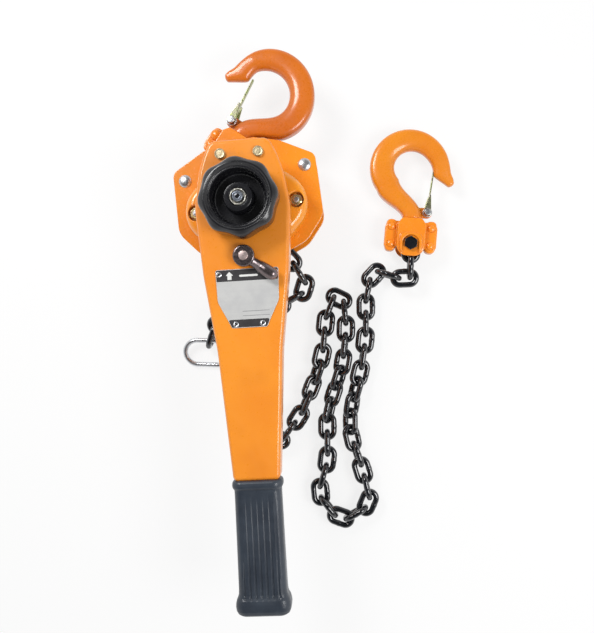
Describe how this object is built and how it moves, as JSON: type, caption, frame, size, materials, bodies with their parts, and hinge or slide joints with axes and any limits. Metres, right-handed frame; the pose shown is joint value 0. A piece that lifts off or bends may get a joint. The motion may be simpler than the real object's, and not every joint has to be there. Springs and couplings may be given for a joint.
{
  "type": "lever chain hoist",
  "caption": "Hand-operated lever hoist with a ratchet lever, free-spin wheel, load sheave with gear train, coiled load chain and two latched swivel hooks.",
  "frame": {"origin": "main shaft axis at the back face of the gear cover", "axes": "+Z along the main shaft towards the hand wheel, +Y towards the top hook, +X to the right seen from the hand wheel"},
  "size_m": [0.3288, 0.5725, 0.154],
  "materials": {
    "orange_paint": "glossy enamel",
    "lever_paint": "satin enamel",
    "rubber": "matte",
    "wheel_plastic": "satin",
    "chain_black": "oiled black",
    "zinc_bright": "bright",
    "zinc_yellow": "bright",
    "gear_steel": "machined",
    "selector_grey": "satin",
    "label_aluminium": "satin",
    "brass": "machined",
    "friction": "matte"
  },
  "bodies": {
    "housing": {"rear_plate": "orange_paint", "front_plate": "orange_paint", "stays": "zinc_bright", "chain_stripper": "gear_steel", "chain_guides": "gear_steel", "sheave_bearings": "brass", "top_pin": "zinc_bright", "brake_cover": "orange_paint", "cover_nuts": "zinc_yellow", "gear_cover": "orange_paint", "pawl_studs": "zinc_bright", "pawl_springs": "zinc_bright", "ratchet_disc": "gear_steel", "load_chain_drop": "chain_black", "load_chain_fold": "chain_black", "load_chain_end": "chain_black", "slack_chain": "chain_black", "chain_wrap": "chain_black"},
    "drive": {"pinion_shaft": "gear_steel", "brake_hub": "gear_steel", "friction_discs": "friction", "change_gear": "gear_steel", "hand_wheel": "wheel_plastic", "wheel_nut": "zinc_yellow"},
    "gear_left": {"gear_left": "gear_steel"},
    "gear_right": {"gear_right": "gear_steel"},
    "sheave": {"load_gear": "gear_steel", "load_sheave": "gear_steel"},
    "brake_pawl_left": {"brake_pawl_left": "gear_steel"},
    "brake_pawl_right": {"brake_pawl_right": "gear_steel"},
    "lever": {"lever_outer": "lever_paint", "lever_inner": "lever_paint", "lever_bolts": "zinc_yellow", "grip": "rubber", "label_plate": "label_aluminium", "label_rivets": "zinc_bright", "detent": "zinc_bright"},
    "selector": {"selector": "selector_grey", "change_pawl": "gear_steel", "selector_nut": "zinc_yellow"},
    "top_yoke": {"top_yoke_front": "orange_paint", "top_yoke_rear": "orange_paint", "top_yoke_rivets": "orange_paint"},
    "top_hook": {"top_hook": "orange_paint", "top_latch_pin": "chain_black", "top_latch_spring": "zinc_bright"},
    "top_latch": {"top_latch": "zinc_yellow"},
    "bottom_yoke": {"bottom_yoke_front": "orange_paint", "bottom_yoke_rear": "orange_paint", "bottom_yoke_rivets": "orange_paint", "chain_pin": "chain_black"},
    "bottom_hook": {"bottom_hook": "orange_paint", "bottom_latch_pin": "chain_black", "bottom_latch_spring": "zinc_bright"},
    "bottom_latch": {"bottom_latch": "zinc_yellow"},
    "end_ring": {"end_ring": "zinc_bright"}
  },
  "joints": [
    {"name": "lever_turn", "type": "hinge", "parent": "housing", "child": "lever", "pos_m": [0, 0, 0.112], "axis": [0, 0, 1], "continuous": true},
    {"name": "selector_turn", "type": "hinge", "parent": "lever", "child": "selector", "pos_m": [-0.0037, -0.05287, 0.112], "axis": [0, 0, 1], "range_deg": [-108, 0]},
    {"name": "drive_spin", "type": "hinge", "parent": "housing", "child": "drive", "pos_m": [0, 0, 0.08], "axis": [0, 0, 1], "continuous": true},
    {"name": "gear_left_spin", "type": "hinge", "parent": "housing", "child": "gear_left", "pos_m": [-0.03675, 0, 0.015], "axis": [0, 0, 1], "continuous": true},
    {"name": "gear_right_spin", "type": "hinge", "parent": "housing", "child": "gear_right", "pos_m": [0.03675, 0, 0.015], "axis": [0, 0, 1], "continuous": true},
    {"name": "sheave_spin", "type": "hinge", "parent": "housing", "child": "sheave", "pos_m": [0, 0, 0.049], "axis": [0, 0, 1], "continuous": true, "deforming": ["chain_wrap"]},
    {"name": "brake_pawl_left_lift", "type": "hinge", "parent": "housing", "child": "brake_pawl_left", "pos_m": [-0.051, 0, 0.0815], "axis": [0, 0, -1], "range_deg": [0, 15], "stiffness_Nm_per_rad": 0.05, "springref_deg": -17.19},
    {"name": "brake_pawl_right_lift", "type": "hinge", "parent": "housing", "child": "brake_pawl_right", "pos_m": [0.051, 0, 0.0815], "axis": [0, 0, -1], "range_deg": [0, 15], "stiffness_Nm_per_rad": 0.05, "springref_deg": -17.19},
    {"name": "top_yoke_swing", "type": "hinge", "parent": "housing", "child": "top_yoke", "pos_m": [-0.021, 0.062, 0.049], "axis": [0, 0, 1], "range_deg": [-4, 60]},
    {"name": "top_hook_swivel", "type": "hinge", "parent": "top_yoke", "child": "top_hook", "pos_m": [-0.021, 0.062, 0.049], "axis": [0.6561, 0.7547, 0], "continuous": true},
    {"name": "top_latch_open", "type": "hinge", "parent": "top_hook", "child": "top_latch", "pos_m": [-0.0089, 0.10183, 0.049], "axis": [0, 0, -1], "range_deg": [0, 35], "stiffness_Nm_per_rad": 0.03, "springref_deg": -28.65},
    {"name": "bottom_yoke_swing", "type": "hinge", "parent": "housing", "child": "bottom_yoke", "pos_m": [0.1647, -0.05092, 0.01759], "axis": [0, 0, 1], "range_deg": [-12, 25]},
    {"name": "bottom_hook_swivel", "type": "hinge", "parent": "bottom_yoke", "child": "bottom_hook", "pos_m": [0.1647, -0.05092, 0.01759], "axis": [0.2079, 0.9781, 0], "continuous": true},
    {"name": "bottom_latch_open", "type": "hinge", "parent": "bottom_hook", "child": "bottom_latch", "pos_m": [0.18775, -0.0193, 0.01759], "axis": [0, 0, 1], "range_deg": [0, 35], "stiffness_Nm_per_rad": 0.03, "springref_deg": -28.65},
    {"name": "end_ring_lift", "type": "hinge", "parent": "housing", "child": "end_ring", "pos_m": [-0.06797, -0.12801, 0.01078], "axis": [-0.9877, 0.1564, 0], "range_deg": [0, 85]}
  ],
  "couplings": [
    {"joint": "drive_spin", "follows": "lever_turn", "ratio": 1},
    {"joint": "gear_left_spin", "follows": "lever_turn", "ratio": -0.4},
    {"joint": "gear_right_spin", "follows": "lever_turn", "ratio": -0.4},
    {"joint": "sheave_spin", "follows": "lever_turn", "ratio": 0.16}
  ]
}
